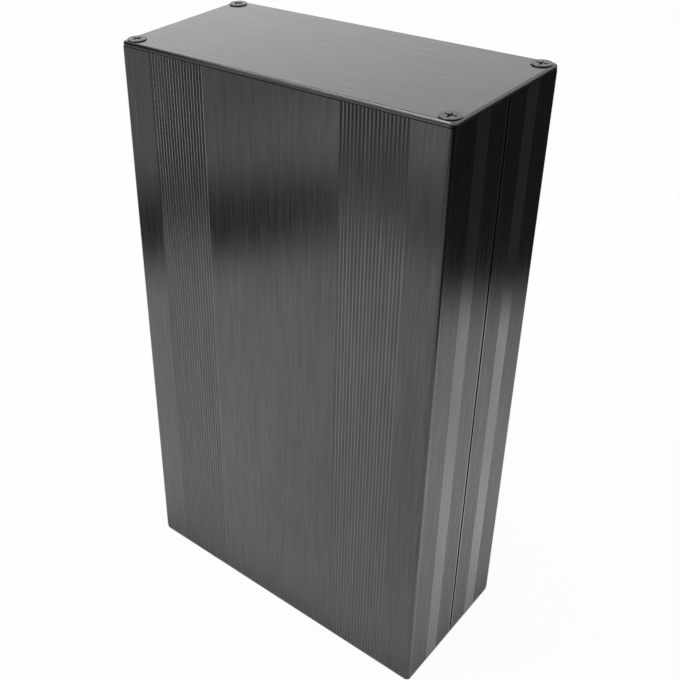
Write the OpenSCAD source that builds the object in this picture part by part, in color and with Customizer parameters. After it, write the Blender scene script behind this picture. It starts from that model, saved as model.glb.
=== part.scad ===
// Split-type extruded aluminium enclosure.
//
// Two identical half extrusions close on a tongue-and-groove joint that runs down the
// middle of each side wall. A flat plate at each end is held by four countersunk screws
// that cut their thread in the open screw ports of the halves. The outer faces carry
// bands of fine V-shaped flutes with plain strips between them.
//
// The box stands on one end: X runs across the wide faces, Y through the depth and
// Z along the extrusion. The origin is the middle of the footprint, on the ground.

/* [Body] */
// Width of the box across its wide faces
body_w = 145; // [120:1:220]
// Depth of the box through both halves
body_d = 68; // [60:1:120]
// Length of the two extruded halves
body_len = 250; // [60:5:400]
// Wall behind the wide faces
wide_wall = 2.4; // [1.8:0.1:4]
// Wall behind the narrow side faces
side_wall = 3; // [2.8:0.1:5]
// Radius of the long outer corners
corner_r = 1.5; // [0.5:0.25:3]

/* [Flutes and plain strips] */
// Distance from one flute to the next
flute_pitch = 1.5; // [1.2:0.1:3]
// Flat crest left between two flutes
flute_crest = 0.1; // [0.05:0.05:0.4]
// Depth of a flute
flute_depth = 0.25; // [0.15:0.05:0.4]
// Plain strip between a long corner and the fluted band of a wide face
band_inset = 14.9; // [8:0.1:20]
// Width of each fluted band of a wide face
band_w = 27; // [9:1.5:36]
// Plain strip between the joint and the first flute of a side face
joint_land = 1.5; // [1.2:0.1:3]
// Width of the fluted band beside the joint
inner_band_w = 10.5; // [6:1.5:13.5]
// Width of the plain strip beyond that band
plain_strip_w = 8.2; // [4:0.2:10]

/* [Joint between the halves] */
// Height of the shadow gap that each half leaves along the joint
shadow_h = 0.55; // [0.3:0.05:0.9]
// Depth of the shadow gap
shadow_depth = 0.8; // [0.5:0.1:0.9]
// Thickness of the tongue
tongue_t = 0.8; // [0.6:0.05:0.9]
// Height of the tongue above the joint
tongue_h = 1.5; // [1:0.1:2.5]
// Chamfer along the tip of the tongue
tongue_chamfer = 0.2; // [0.1:0.05:0.3]
// Clearance between the tongue and its groove, each side
joint_clearance = 0.1; // [0.05:0.05:0.15]

/* [Board slots] */
// Width of a slot, for a 1.6 mm board
slot_w = 1.8; // [1.4:0.1:2.4]
// Distance from the joint to the middle of the nearest slot
slot_first = 6; // [5:0.5:8]
// Distance between the middles of two slots
slot_pitch = 8; // [6:0.5:12]
// Thickness of the ribs on both sides of a slot
rib_t = 1.2; // [0.8:0.1:1.6]
// How far the ribs stand out of the side wall
rib_h = 2; // [1.2:0.1:3]

/* [End plates] */
// Thickness of an end plate
plate_t = 2; // [1.5:0.1:3]
// Radius of the plate's corners, seen from above
plate_corner_r = 2; // [1.5:0.25:4]
// Radius of the rounded edge of the outer face
plate_edge_r = 1; // [0.3:0.1:1.2]
// Chamfer along the edge of the inner face
plate_inner_edge = 0.3; // [0.1:0.05:0.5]

/* [Screws] */
// Distance from a screw to the nearest side face
screw_inset_x = 4.3; // [4.2:0.1:6]
// Distance from a screw to the nearest wide face
screw_inset_y = 4.5; // [4.2:0.1:6]
// Outer diameter of the screw thread
screw_d = 4; // [3.5:0.5:4]
// Core diameter of the screw thread
screw_core_d = 3.2; // [2.8:0.1:3.3]
// Length of a screw with its head
screw_len = 10; // [8:1:16]
// Diameter of the countersunk head
head_d = 7.5; // [6.5:0.1:7.8]
// Height of the straight rim of the head
head_rim = 0.3; // [0.2:0.05:0.4]
// How far the head stands out of the plate
head_proud = 0.45; // [0.3:0.05:0.8]
// Diameter of the cross recess over its wings
recess_d = 4.4; // [3.8:0.1:4.6]
// Width of a wing of the cross recess
recess_w = 0.9; // [0.7:0.05:1.1]
// Depth of the cross recess
recess_depth = 2; // [1.2:0.1:2.2]
// Metal left round a screw port
port_wall = 1.5; // [1.2:0.1:2]
// Width of the mouth that opens a screw port to the inside
port_mouth = 1.6; // [1.2:0.1:1.8]
// Clearance between the screw core and the port, each side
port_clearance = 0.1; // [0.05:0.05:0.15]
// Clearance between the screw thread and the hole in the plate, each side
plate_clearance = 0.15; // [0.1:0.05:0.25]
// Clearance under the cone of the head
seat_clearance = 0.02; // [0.01:0.01:0.05]

/* [Hidden] */

// Facets of round shapes, of the small ones that repeat and of the plate's corners
round_fn = 48;
rib_fn = 16;
plate_fn = 32;
// Overshoot of a cutter beyond the face it opens
over = 1;
// Small edge break round the top of a screw head
head_edge = 0.12;

// Half sizes of the box
half_w = body_w / 2;
half_d = body_d / 2;

// Heights of the faces, from the ground up
bottom_plate_z = head_proud;
body_z = bottom_plate_z + plate_t;
top_plate_z = body_z + body_len;
top_z = top_plate_z + plate_t;

// Inner faces of the walls, and the floor of the shadow gap
inner_x = half_w - side_wall;
inner_y = half_d - wide_wall;
shadow_x = half_w - shadow_depth;

// Half the width of a flute at the surface
flute_half_w = (flute_pitch - flute_crest) / 2;

// Outer band of a side face, from the plain strip to the long corner
outer_band_start = joint_land + inner_band_w + plain_strip_w;
outer_band_w = half_d - corner_r - outer_band_start;

// Tongue, centred in the wall behind the shadow gap
tongue_x = (inner_x + shadow_x) / 2;

// Screw axes and ports
screw_x = half_w - screw_inset_x;
screw_y = half_d - screw_inset_y;
port_r = screw_core_d / 2 + port_clearance;
boss_r = port_r + port_wall;

// Board slots fill the side wall between the joint and the screw ports
slot_room = screw_y - boss_r - slot_first - slot_w / 2 - rib_t;
slot_count = floor(slot_room / slot_pitch) + 1;

// Countersink: as wide at the face of the plate as the head is at that height
head_r = head_d / 2;
sink_r = head_r - (head_proud - head_rim) + seat_clearance;
hole_r = screw_d / 2 + plate_clearance;

// Number of flutes that fit a band
function flute_count(room) = floor((room + flute_crest) / flute_pitch);

// ---- Shared shapes ----

// Children at X and, mirrored, at -X
module both_sides() {
    children();
    mirror([1, 0, 0]) children();
}

// Children at the four screw axes
module at_screws() {
    for (x = [-screw_x, screw_x], y = [-screw_y, screw_y])
        translate([x, y, 0]) children();
}

// Rectangle with round corners, centred
module rounded_rect(w, d, r) {
    square([w - 2 * r, d], center = true);
    square([w, d - 2 * r], center = true);
    for (x = [-1, 1], y = [-1, 1])
        translate([x * (w / 2 - r), y * (d / 2 - r)]) circle(r = r, $fn = round_fn);
}

// ---- Cross-section of a half ----
// It lies at -Y of the joint, and its tongue is on the +X side.

// Row of flutes along +X in a face at Y = 0 whose metal is above it
module flutes(room) {
    for (i = [0 : 1 : flute_count(room) - 1])
        translate([(i + 0.5) * flute_pitch, 0])
            polygon([[-flute_half_w, -over], [flute_half_w, -over], [flute_half_w, 0],
                     [0, flute_depth], [-flute_half_w, 0]]);
}

// The two walls and the floor of the U, before anything is cut or added
module half_wall() {
    difference() {
        intersection() {
            rounded_rect(body_w, body_d, corner_r);
            translate([-half_w, -half_d]) square([body_w, half_d]);
        }
        translate([-inner_x, -inner_y]) square([2 * inner_x, inner_y + over]);
    }
}

// Round-nosed rib that stands out of the +X wall towards the inside
module board_rib() {
    nose_r = rib_t / 2;
    translate([inner_x - rib_h + nose_r, 0]) {
        translate([0, -nose_r]) square([rib_h - nose_r + side_wall / 2, rib_t]);
        circle(r = nose_r, $fn = rib_fn);
    }
}

// Pairs of ribs that hold the edge of a board between them
module board_ribs() {
    for (i = [0 : 1 : slot_count - 1], side = [-1, 1])
        translate([0, side * (slot_w + rib_t) / 2 - slot_first - i * slot_pitch])
            board_rib();
}

// Round boss of the screw port in the +X corner
module port_boss() {
    translate([screw_x, -screw_y]) circle(r = boss_r, $fn = round_fn);
}

// Bore of the port and the mouth that opens it towards the inside
module port_cut() {
    translate([screw_x, -screw_y]) {
        circle(r = port_r, $fn = round_fn);
        rotate(135) translate([0, -port_mouth / 2]) square([boss_r + over, port_mouth]);
    }
}

// Tongue, or the groove for it when grown by a clearance; its root is below the joint
module tongue_shape(grow) {
    t = tongue_t / 2 + grow;
    h = tongue_h + grow;
    translate([tongue_x, 0])
        polygon([[-t, -tongue_h], [t, -tongue_h], [t, h - tongue_chamfer],
                 [t - tongue_chamfer, h], [tongue_chamfer - t, h],
                 [-t, h - tongue_chamfer]]);
}

// Row of flutes in the +X side face, from a distance below the joint downwards
module side_flutes(start, room) {
    translate([half_w, -start]) rotate(-90) mirror([0, 1, 0]) flutes(room);
}

// Flutes and shadow gap of the +X side face
module side_face_cuts() {
    side_flutes(joint_land, inner_band_w);
    side_flutes(outer_band_start, outer_band_w);
    translate([shadow_x, -shadow_h]) square([shadow_depth + over, shadow_h + over]);
}

// Fluted band on the +X half of the wide face
module wide_face_cuts() {
    translate([half_w - band_inset - band_w, -half_d]) flutes(band_w);
}

module half_profile() {
    difference() {
        union() {
            half_wall();
            both_sides() {
                board_ribs();
                port_boss();
            }
            tongue_shape(0);
        }
        both_sides() {
            port_cut();
            side_face_cuts();
            wide_face_cuts();
        }
        mirror([1, 0, 0]) mirror([0, 1, 0]) tongue_shape(joint_clearance);
    }
}

module half_shell() {
    translate([0, 0, body_z]) linear_extrude(body_len) half_profile();
}

// ---- End plates and screws ----

// Round post that fills a corner of a plate, with the plate's edge profile
module plate_post() {
    edge_steps = plate_fn / 4;
    edge = [for (i = [0 : 1 : edge_steps])
        [plate_corner_r - plate_edge_r * (1 - cos(90 * i / edge_steps)),
         plate_t - plate_edge_r * (1 - sin(90 * i / edge_steps))]];
    rotate_extrude($fn = plate_fn)
        polygon(concat([[0, 0], [plate_corner_r - plate_inner_edge, 0],
                        [plate_corner_r, plate_inner_edge]],
                       edge, [[0, plate_t]]));
}

// Plate with its inner face at Z = 0 and its countersunk outer face up
module end_plate() {
    difference() {
        hull() {
            for (x = [-1, 1], y = [-1, 1])
                translate([x * (half_w - plate_corner_r), y * (half_d - plate_corner_r), 0])
                    plate_post();
        }
        at_screws() {
            translate([0, 0, -over]) cylinder(r = hole_r, h = plate_t + 2 * over, $fn = round_fn);
            translate([0, 0, plate_t - (sink_r - hole_r)])
                cylinder(r1 = hole_r, r2 = sink_r + over, h = sink_r - hole_r + over,
                         $fn = round_fn);
        }
    }
}

// Cross recess, cut down from Z = 0: a cross that a cone narrows towards the bottom
module cross_recess() {
    intersection() {
        translate([0, 0, -recess_depth]) linear_extrude(recess_depth + over) {
            square([recess_d, recess_w], center = true);
            square([recess_w, recess_d], center = true);
        }
        translate([0, 0, -recess_depth])
            cylinder(r1 = recess_w / 2, r2 = recess_d / 2, h = recess_depth,
                     $fn = round_fn);
    }
}

// Countersunk screw, head up, with the top of its head at Z = 0
module screw() {
    core_r = screw_core_d / 2;
    cone_end = head_rim + head_r - core_r;
    tip = core_r / 3;
    difference() {
        rotate_extrude($fn = round_fn)
            polygon([[0, 0], [head_r - head_edge, 0], [head_r, -head_edge],
                     [head_r, -head_rim], [core_r, -cone_end],
                     [core_r, tip - screw_len], [core_r - tip, -screw_len],
                     [0, -screw_len]]);
        cross_recess();
    }
}

// ---- Sub-parts ----

// Half with its wide face to -Y
module front_shell() {
    color("#2e2e30") half_shell();
}

// The same half turned round, so that each tongue enters the other half's groove
module rear_shell() {
    color("#343437") rotate([0, 0, 180]) half_shell();
}

module bottom_end_plate() {
    color("#3c3c3f") translate([0, 0, body_z]) mirror([0, 0, 1]) end_plate();
}

module top_end_plate() {
    color("#3c3c3f") translate([0, 0, top_plate_z]) end_plate();
}

module bottom_plate_screws() {
    color("#161617") translate([0, 0, bottom_plate_z - head_proud])
        mirror([0, 0, 1]) at_screws() screw();
}

module top_plate_screws() {
    color("#161617") translate([0, 0, top_z + head_proud]) at_screws() screw();
}

front_shell();
rear_shell();
bottom_end_plate();
top_end_plate();
bottom_plate_screws();
top_plate_screws();
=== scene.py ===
"""Dresses the split-type extruded aluminium enclosure: black anodised finishes and a studio."""
import math

import bpy
import numpy as np
from mathutils import Matrix, Vector


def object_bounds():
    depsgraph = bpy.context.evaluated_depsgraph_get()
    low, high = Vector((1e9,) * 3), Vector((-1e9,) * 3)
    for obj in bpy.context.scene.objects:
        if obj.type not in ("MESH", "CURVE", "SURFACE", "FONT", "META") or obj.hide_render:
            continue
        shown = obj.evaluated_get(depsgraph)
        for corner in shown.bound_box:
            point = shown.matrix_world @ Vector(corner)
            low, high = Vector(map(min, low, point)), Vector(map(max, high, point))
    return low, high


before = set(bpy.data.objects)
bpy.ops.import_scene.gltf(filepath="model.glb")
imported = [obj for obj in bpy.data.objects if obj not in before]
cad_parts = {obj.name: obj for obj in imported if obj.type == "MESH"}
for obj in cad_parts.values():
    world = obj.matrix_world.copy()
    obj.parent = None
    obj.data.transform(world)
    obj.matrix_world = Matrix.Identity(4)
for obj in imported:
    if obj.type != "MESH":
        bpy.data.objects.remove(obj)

CAD_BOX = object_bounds()
MM = 0.001
WHITE = (1, 1, 1, 1)


# ---- Material helpers ----

def linear(hex_colour):
    """Linear RGBA of an sRGB hex colour such as "#5a5a5c"."""
    parts = [int(hex_colour[i:i + 2], 16) / 255 for i in (1, 3, 5)]
    return tuple(c / 12.92 if c <= 0.04045 else ((c + 0.055) / 1.055) ** 2.4
                 for c in parts) + (1.0,)


def add(tree, kind, inputs=None, **settings):
    """Adds a shader node, sets its properties, and sets or links its inputs by name."""
    made = tree.nodes.new("ShaderNode" + kind)
    for name, value in settings.items():
        setattr(made, name, value)
    for name, value in (inputs or {}).items():
        if isinstance(value, bpy.types.NodeSocket):
            tree.links.new(value, made.inputs[name])
        else:
            made.inputs[name].default_value = value
    return made


def new_material(name):
    """An empty material, its node tree and its output node."""
    material = bpy.data.materials.new(name)
    material.use_nodes = True
    tree = material.node_tree
    tree.nodes.clear()
    return material, tree, add(tree, "OutputMaterial")


def long_noise(tree, across_mm, along_mm, axis, detail=2.0):
    """Noise drawn out along one axis: marks as wide and as long as stated."""
    scale = [1 / (across_mm * MM)] * 3
    scale["XYZ".index(axis)] = 1 / (along_mm * MM)
    place = add(tree, "TexCoord")
    stretched = add(tree, "Mapping", {"Vector": place.outputs["Object"], "Scale": scale})
    return add(tree, "TexNoise", {"Vector": stretched.outputs["Vector"], "Scale": 1.0,
                                  "Detail": detail, "Roughness": 0.6}).outputs["Fac"]


def two_tones(tree, value, dark, light):
    """Colour between two tones where a noise value is low or high."""
    ramp = add(tree, "ValToRGB", {"Fac": value})
    for element, place, tone in zip(ramp.color_ramp.elements, (0.3, 0.7), (dark, light)):
        element.position = place
        element.color = linear(tone)
    return ramp.outputs["Color"]


# ---- Finishes ----

# A brush line is this many times as long as it is wide
LINE_STRETCH = 30

# The duller streaks of the brush are this many lines wide, and this long
STREAK_LINES = 1.3
STREAK_MM = 20

# Roughness of the shiniest and of the dullest streaks
SHINY = 0.14
DULL = 0.21


def brushed_anodised(name, dark, light, axis, line_mm, depth_mm):
    """Aluminium brushed along one axis, then anodised black.

    The brush leaves fine lines that tilt the surface a little, and some are duller than
    others, so they show where the reflection changes and fade where it is even. The
    reflection spreads more across the lines than along them, and the dye takes a little
    unevenly from one line to the next. The real lines are finer: they are drawn 0.6 to
    0.7 mm wide so that they show.
    """
    material, tree, output = new_material(name)
    lines = long_noise(tree, line_mm, LINE_STRETCH * line_mm, axis)
    streaks = long_noise(tree, STREAK_LINES * line_mm, STREAK_MM, axis)
    bump = add(tree, "Bump", {"Height": lines, "Strength": 1.0, "Distance": depth_mm * MM})
    dull = add(tree, "MapRange", {"Value": streaks, "From Min": 0.35, "From Max": 0.65,
                                  "To Min": SHINY, "To Max": DULL})
    shader = add(tree, "BsdfPrincipled", {
        "Base Color": two_tones(tree, lines, dark, light), "Metallic": 1.0,
        "Roughness": dull.outputs["Result"], "Anisotropic": 0.5,
        "Normal": bump.outputs["Normal"]})
    tree.links.new(shader.outputs["BSDF"], output.inputs["Surface"])
    return material, tree, shader


def shell_finish():
    """Black anodised extrusion, brushed along its length: a soft dark satin."""
    material, _, _ = brushed_anodised("black_anodised_extrusion", "#555557", "#616163",
                                      axis="Z", line_mm=0.7, depth_mm=0.03)
    return material


def plate_finish():
    """Black anodised sheet, brushed along its length: the same satin, a shade lighter."""
    material, tree, shader = brushed_anodised(
        "black_anodised_brushed_sheet", "#565658", "#646466",
        axis="X", line_mm=0.6, depth_mm=0.04)
    lengthwise = add(tree, "Tangent", direction_type="RADIAL", axis="X")
    tree.links.new(lengthwise.outputs["Tangent"], shader.inputs["Tangent"])
    return material


def screw_finish():
    """Black zinc plated steel: a dark half-gloss film, slightly cloudy and uneven."""
    material, tree, output = new_material("black_zinc_plated_steel")
    cloud = long_noise(tree, across_mm=0.9, along_mm=0.9, axis="Z", detail=3.0)
    bump = add(tree, "Bump", {"Height": cloud, "Strength": 0.4, "Distance": 0.01 * MM})
    shader = add(tree, "BsdfPrincipled", {
        "Base Color": two_tones(tree, cloud, "#49494b", "#5a5a5c"), "Metallic": 1.0,
        "Roughness": 0.3, "Normal": bump.outputs["Normal"]})
    tree.links.new(shader.outputs["BSDF"], output.inputs["Surface"])
    return material


def dress(material, *nodes):
    """Gives CAD nodes their finish."""
    for node in nodes:
        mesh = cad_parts[node].data
        mesh.materials.clear()
        mesh.materials.append(material)


dress(shell_finish(), "front_shell", "rear_shell")
dress(plate_finish(), "bottom_end_plate", "top_end_plate")
dress(screw_finish(), "bottom_plate_screws", "top_plate_screws")


# ---- Camera ----

CAMERA_PLACE = Vector((0.2096, -0.2838, 0.3672))
CAMERA_AZIMUTH = math.radians(43.56)
CAMERA_ELEVATION = math.radians(31.04)
CAMERA_ROLL = math.radians(-2.88)
CAMERA_LENS = 52.54
CAMERA_SENSOR = 36
CAMERA_SHIFT = (0.1796, -0.0746)


def make_camera():
    """Looks down at the corner between the front and the right side."""
    level = Vector((math.cos(CAMERA_AZIMUTH), math.sin(CAMERA_AZIMUTH), 0))
    back = Vector((math.sin(CAMERA_AZIMUTH) * math.cos(CAMERA_ELEVATION),
                   -math.cos(CAMERA_AZIMUTH) * math.cos(CAMERA_ELEVATION),
                   math.sin(CAMERA_ELEVATION)))
    right = Matrix.Rotation(CAMERA_ROLL, 3, back) @ level
    turn = Matrix((right, back.cross(right), back)).transposed()
    data = bpy.data.cameras.new("camera")
    data.lens = CAMERA_LENS
    data.sensor_width = CAMERA_SENSOR
    data.shift_x, data.shift_y = CAMERA_SHIFT
    camera = bpy.data.objects.new("camera", data)
    camera.matrix_world = Matrix.Translation(CAMERA_PLACE) @ turn.to_4x4()
    bpy.context.scene.collection.objects.link(camera)
    bpy.context.scene.camera = camera


make_camera()


# ---- Studio helpers ----

def fade(value, start, end, first=0.0, last=1.0):
    """Goes from first to last on a smooth S-curve as value goes from start to end."""
    t = np.clip((value - start) / (end - start), 0, 1)
    return first + (last - first) * t * t * (3 - 2 * t)


def surface_grid(name, points, shade, material):
    """Adds a stage card: rows and columns of points, with a brightness at each point.

    points is an array of rows x columns x 3. Each cell of four neighbours is a face.
    """
    rows, columns = shade.shape
    corner = np.arange(rows * columns).reshape(rows, columns)[:-1, :-1].ravel()
    cells = np.stack([corner, corner + 1, corner + columns + 1, corner + columns], axis=1)
    mesh = bpy.data.meshes.new(name)
    mesh.from_pydata(points.reshape(-1, 3), [], cells)
    mesh.attributes.new("shade", "FLOAT", "POINT").data.foreach_set(
        "value", shade.astype(np.float32).ravel())
    mesh.materials.append(material)
    card = bpy.data.objects.new(name, mesh)
    bpy.context.scene.collection.objects.link(card)
    return card


def ray_share(tree, *rays):
    """1 for any of the named kinds of ray, 0 for the others."""
    path = add(tree, "LightPath")
    share = path.outputs[rays[0]]
    for ray in rays[1:]:
        both = add(tree, "Math", operation="MAXIMUM")
        tree.links.new(share, both.inputs[0])
        tree.links.new(path.outputs[ray], both.inputs[1])
        share = both.outputs[0]
    return share


# ---- White tent ----

# The tent's strength as light on the paper. It is 1 where it is seen or reflected
TENT_LIGHT = 0.6


def studio_world():
    """A soft white tent: white where it is seen, dimmer where it lights the floor."""
    world = bpy.data.worlds.new("studio")
    bpy.context.scene.world = world
    world.use_nodes = True
    tree = world.node_tree
    tree.nodes.clear()
    seen = ray_share(tree, "Is Camera Ray", "Is Glossy Ray", "Is Transmission Ray")
    strength = add(tree, "MapRange", {"Value": seen, "To Min": TENT_LIGHT, "To Max": 1.0})
    sky = add(tree, "Background", {"Color": WHITE, "Strength": strength.outputs["Result"]})
    tree.links.new(sky.outputs["Background"], add(tree, "OutputWorld").inputs["Surface"])


# ---- Table, with painted light and shade for the metal to reflect ----

# The light painted on the table for the metal to reflect: its level at the box, and how much
# it changes in each millimetre along X and along Y, kept between two bounds
TABLE_LEVEL = 1.08
TABLE_PER_X = -0.00065
TABLE_PER_Y = 0.001
TABLE_BOUNDS = (0.06, 1.19)

# Areas of painted light and shade on the table, lighter or darker than that. A row is a
# strength and then the fades that shape the area: along which distance, where it starts
# and where it ends, in millimetres, and the levels there if they aren't 0 and 1
LIGHTER_AREAS = (
    # To the right
    (0.24, ("x", 90, 190), ("y", -80, 0), ("y", 135, 85)),
    # Far left
    (0.9, ("x", -440, -600), ("y", -180, -110)),
    # Far front left
    (0.25, ("x", -450, -350), ("x", -130, -180), ("y", -400, -520)),
    # Behind on the right, where it takes a little light away
    (-0.15, ("x", 60, 130), ("y", 60, 120)),
)
DARKER_AREAS = (
    # Near the front
    (0.15, ("x", -100, 20), ("y", -45, -80), ("y", -260, -180)),
    # Streak across the front left
    (0.86, ("ahead", 430, 560), ("ahead", 605, 790, 1, 0.12), ("x", -250, -175, 1, 0.4),
     ("y", -80, -200)),
    # Far left, beyond the streak
    (0.3, ("x", -257, -434), ("ahead", 600, 700), ("y", -80, -200)),
    # Far front
    (0.55, ("x", -170, -110), ("x", 50, -20), ("y", -330, -430)),
    # Unlit table past a wide arc on the right
    (0.93, ("arc", 240, 325), ("x", 40, 150), ("y", -60, 20)),
    # Front right
    (0.9, ("x", 287, 335), ("y", 60, -40)),
)

# The arc's middle lies this far to the right of the box's middle, in millimetres
ARC_MIDDLE = 90

# The box's shadow, painted into the table's reflection: its depth at the box, and how far
# out it fades to about a third of that, in millimetres
PAINTED_SHADOW_DEPTH = 0.46
PAINTED_SHADOW_REACH = 18


def table_area(row, distances):
    """How strong an area is over the whole table: its strength times all its fades."""
    strength, *fades = row
    for name, *limits in fades:
        strength = strength * fade(distances[name], *limits)
    return strength


def painted_table_reflection(x, y):
    """The painted brightness of the table as the metal reflects it, at places in millimetres.

    A slope that falls towards +X and -Y, plus the lighter areas, times what each darker
    area and the box's painted shadow leave of it, and never below 0. Ahead is the distance
    towards the front left, and arc is the distance from a place to the right of the box.
    """
    distances = {"x": x, "y": y, "ahead": -(x + y), "arc": np.hypot(x - ARC_MIDDLE, y)}
    shade = np.clip(TABLE_LEVEL + TABLE_PER_X * x + TABLE_PER_Y * y, *TABLE_BOUNDS)
    for row in LIGHTER_AREAS:
        shade = np.maximum(shade + table_area(row, distances), 0)
    for row in DARKER_AREAS:
        shade = shade * (1 - table_area(row, distances))
    # The box's painted shadow, fading with the distance from the box's sides
    half_width, half_depth = (side / MM for side in CAD_BOX[1][:2])
    away = np.hypot(np.maximum(np.abs(x) - half_width, 0),
                    np.maximum(np.abs(y) - half_depth, 0))
    return shade * (1 - PAINTED_SHADOW_DEPTH * np.exp(-away / PAINTED_SHADOW_REACH))


# The floor reaches this far each way, in metres, on this many lines that crowd near the box
FLOOR_REACH = 6.0
FLOOR_LINES = 241
FLOOR_CROWDING = 4

# Share of the camera's view of the floor that is plain white, so that the rest, lit paper,
# keeps the object's shadow
FLOOR_WHITE = 0.95


def floor():
    """White paper, flat on a grid: place = reach x sinh(crowding x u) / sinh(crowding).

    Metal shows it with its painted light and shade, the camera sees it nearly white, and
    every other ray meets plain paper.
    """
    material, tree, output = new_material("white_paper_floor")
    mirrored = ray_share(tree, "Is Glossy Ray", "Is Transmission Ray")
    shade = add(tree, "Attribute", attribute_name="shade").outputs["Fac"]
    strength = add(tree, "MapRange", {"Value": mirrored, "To Min": 1.0, "To Max": shade})
    white = add(tree, "MapRange", {"Value": ray_share(tree, "Is Camera Ray"),
                                   "To Max": FLOOR_WHITE})
    share = add(tree, "MapRange", {"Value": mirrored, "To Min": white.outputs["Result"],
                                   "To Max": 1.0})
    paper = add(tree, "BsdfDiffuse", {"Color": (0.9, 0.9, 0.9, 1)})
    glow = add(tree, "Emission", {"Color": WHITE, "Strength": strength.outputs["Result"]})
    both = add(tree, "MixShader", {"Fac": share.outputs["Result"]})
    tree.links.new(paper.outputs["BSDF"], both.inputs[1])
    tree.links.new(glow.outputs["Emission"], both.inputs[2])
    tree.links.new(both.outputs["Shader"], output.inputs["Surface"])
    u = np.linspace(-1, 1, FLOOR_LINES)
    line = FLOOR_REACH * np.sinh(FLOOR_CROWDING * u) / np.sinh(FLOOR_CROWDING)
    x, y = np.meshgrid(line, line)
    # The painted light and shade that the metal reflects
    surface_grid("floor", np.stack([x, y, np.zeros_like(x)], axis=-1),
                 painted_table_reflection(x / MM, y / MM), material)


# ---- Standing cards of painted reflection ----

# Lines each way of a card's grid
CARD_LINES = 41


def standing_card(name, bearing, distance, half_width, heights, shade):
    """A card that stands on edge and shows only in the metal, as a painted reflection.

    Its middle lies at a distance along a bearing, in degrees from +Y towards +X, and it
    faces the box. shade gives its brightness from u across and v up, each from -1 to 1:
    point = middle + half width x u across + half height x v up.
    """
    material, tree, output = new_material(name)
    tone = add(tree, "Attribute", attribute_name="shade").outputs["Fac"]
    glow = add(tree, "Emission", {"Color": WHITE, "Strength": tone})
    tree.links.new(glow.outputs["Emission"], output.inputs["Surface"])
    steps = np.linspace(-1, 1, CARD_LINES)
    u, v = np.meshgrid(steps, steps)
    out = np.array([math.sin(math.radians(bearing)), math.cos(math.radians(bearing)), 0])
    across = np.array([out[1], -out[0], 0])
    up = np.array([0, 0, 1])
    middle = sum(heights) / 2
    reach = (heights[1] - heights[0]) / 2
    points = (distance * out + half_width * u[..., None] * across
              + (middle + reach * v[..., None]) * up)
    card = surface_grid(name, points, shade(u, v), material)
    card.visible_camera = False
    card.visible_diffuse = False
    card.visible_shadow = False
    card.visible_transmission = False
    card.visible_volume_scatter = False


def painted_bright_reflection(u, v):
    """Painted reflection: the tent's 1 at the edges, a soft bell up to about 1.4 left of the
    middle.
    """
    hump = 0.04 + 0.36 * np.exp(-((u + 0.5) / 0.8) ** 2)
    return 1 + hump * (1 - u ** 8) * (1 - v ** 8)


def painted_dark_reflection(u, v):
    """Painted dark reflection: 0.05 in the middle and at the foot, rising to the tent's 1 at
    the sides and top.
    """
    return 1 - 0.95 * fade(np.abs(u), 1, 0.5) * fade(v, 1, 0.4)


# ---- Lamp ----

LAMP_PLACE = Vector((-0.8, -0.6, 1.6))
LAMP_AIM = Vector((0, 0, 0.1))
LAMP_SIDE = 1.0
LAMP_WATTS = 12


def key_light():
    """A soft overhead lamp on the left that gives the box its shadow on the floor."""
    data = bpy.data.lights.new("key", "AREA")
    data.shape = "SQUARE"
    data.size = LAMP_SIDE
    data.energy = LAMP_WATTS
    lamp = bpy.data.objects.new("key", data)
    lamp.location = LAMP_PLACE
    lamp.rotation_euler = (LAMP_AIM - LAMP_PLACE).to_track_quat("-Z", "Y").to_euler()
    bpy.context.scene.collection.objects.link(lamp)


studio_world()
floor()
# A bright card of painted light, seen only in the metal, behind on the left
standing_card("painted_bright_reflection", bearing=-35, distance=1.2, half_width=0.7,
              heights=(0.3, 1.1), shade=painted_bright_reflection)
# A dark card of painted shade, seen only in the metal, in front on the left
standing_card("painted_dark_reflection", bearing=-120, distance=1.15, half_width=0.5,
              heights=(0.0, 2.2), shade=painted_dark_reflection)
key_light()
bpy.context.scene.view_settings.view_transform = "Standard"
